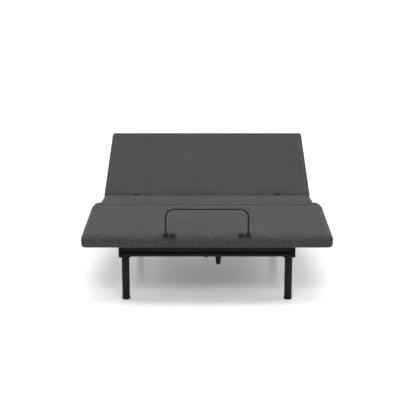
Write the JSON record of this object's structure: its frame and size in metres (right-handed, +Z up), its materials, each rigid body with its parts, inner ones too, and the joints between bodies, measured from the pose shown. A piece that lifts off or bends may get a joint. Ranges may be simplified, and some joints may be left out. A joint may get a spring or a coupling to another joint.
{
  "type": "adjustable bed base",
  "caption": "Adjustable bed base: a padded deck folding at back, thigh and knee over a legged steel frame, raised by linear actuators.",
  "frame": {"origin": "on the floor, midway across the bed and midway between the stored pose's foot and head ends", "axes": "+X to the right seen from the foot end, +Y towards the head end, +Z up"},
  "size_m": [1.524, 1.9722, 0.849],
  "materials": {
    "charcoal_cloth": "woven, heathered charcoal",
    "black_paint": "satin black powder coat",
    "leg_paint": "satin black powder coat",
    "black_plastic": "fine moulded texture",
    "zinc_plated_steel": "bright zinc plating",
    "plywood": "raw plywood"
  },
  "bodies": {
    "base": {"side_rail_left": "black_paint", "side_rail_right": "black_paint", "front_crossbar": "black_paint", "foot_motor_crossbar": "black_paint", "back_motor_crossbar": "black_paint", "rear_crossbar": "black_paint", "rail_end_caps": "black_plastic", "leg_sockets": "leg_paint", "leg_front_left": "leg_paint", "leg_front_right": "leg_paint", "leg_rear_left": "leg_paint", "leg_rear_right": "leg_paint", "glide_front_left": "black_plastic", "glide_front_right": "black_plastic", "glide_rear_left": "black_plastic", "glide_rear_right": "black_plastic", "seat_supports": "black_paint", "seat_tube_left": "black_paint", "seat_tube_right": "black_paint", "seat_cross_tube": "black_paint", "seat_board": "plywood", "seat_pad": "charcoal_cloth", "seat_board_bolts": "zinc_plated_steel", "control_box": "black_plastic", "back_hinge_bolts": "zinc_plated_steel", "thigh_hinge_bolts": "zinc_plated_steel", "back_motor": "black_plastic", "back_actuator_tube": "black_plastic", "foot_motor": "black_plastic", "foot_actuator_tube": "black_plastic", "actuator_pins": "zinc_plated_steel"},
    "back_section": {"back_tube_left": "black_paint", "back_tube_right": "black_paint", "back_end_tube": "black_paint", "back_lift_tube": "black_paint", "back_lever": "black_paint", "back_board": "plywood", "back_pad": "charcoal_cloth", "back_board_bolts": "zinc_plated_steel"},
    "thigh_section": {"thigh_tube_left": "black_paint", "thigh_tube_right": "black_paint", "thigh_lift_tube": "black_paint", "thigh_lever": "black_paint", "thigh_board": "plywood", "thigh_pad": "charcoal_cloth", "thigh_board_bolts": "zinc_plated_steel", "knee_hinge_bolts": "zinc_plated_steel"},
    "calf_section": {"calf_tube_left": "black_paint", "calf_tube_right": "black_paint", "calf_end_tube": "black_paint", "calf_board": "plywood", "calf_pad": "charcoal_cloth", "calf_board_bolts": "zinc_plated_steel", "retainer_bar": "black_paint", "retainer_brackets": "black_paint", "retainer_knobs": "black_plastic"},
    "back_rod": {"back_actuator_rod": "zinc_plated_steel"},
    "foot_rod": {"foot_actuator_rod": "zinc_plated_steel"},
    "left_roller": {"roller_left": "black_plastic"},
    "right_roller": {"roller_right": "black_plastic"}
  },
  "joints": [
    {"name": "back_tilt", "type": "hinge", "parent": "base", "child": "back_section", "pos_m": [0, 0.25228, 0.448], "axis": [1, 0, 0], "range_deg": [-29, 31]},
    {"name": "thigh_tilt", "type": "hinge", "parent": "base", "child": "thigh_section", "pos_m": [0, -0.04772, 0.448], "axis": [-1, 0, 0], "range_deg": [-11, 19]},
    {"name": "calf_tilt", "type": "hinge", "parent": "thigh_section", "child": "calf_section", "pos_m": [0, -0.38521, 0.44127], "axis": [1, 0, 0], "range_deg": [-20, 34.33]},
    {"name": "back_rod_extend", "type": "slide", "parent": "base", "child": "back_rod", "axis": [0, 1, 0], "range_m": [-0.0948, 0.1012]},
    {"name": "foot_rod_extend", "type": "slide", "parent": "base", "child": "foot_rod", "axis": [0, -1, 0], "range_m": [-0.0383, 0.0647]},
    {"name": "left_roller_spin", "type": "hinge", "parent": "calf_section", "child": "left_roller", "pos_m": [-0.538, -0.81187, 0.36], "axis": [1, 0, 0], "continuous": true},
    {"name": "right_roller_spin", "type": "hinge", "parent": "calf_section", "child": "right_roller", "pos_m": [0.538, -0.81187, 0.36], "axis": [1, 0, 0], "continuous": true}
  ],
  "couplings": [
    {"joint": "calf_tilt", "follows": "thigh_tilt", "ratio": 1.791},
    {"joint": "back_rod_extend", "follows": "back_tilt", "m_per_rad": 0.18336},
    {"joint": "foot_rod_extend", "follows": "thigh_tilt", "m_per_rad": 0.18912}
  ]
}
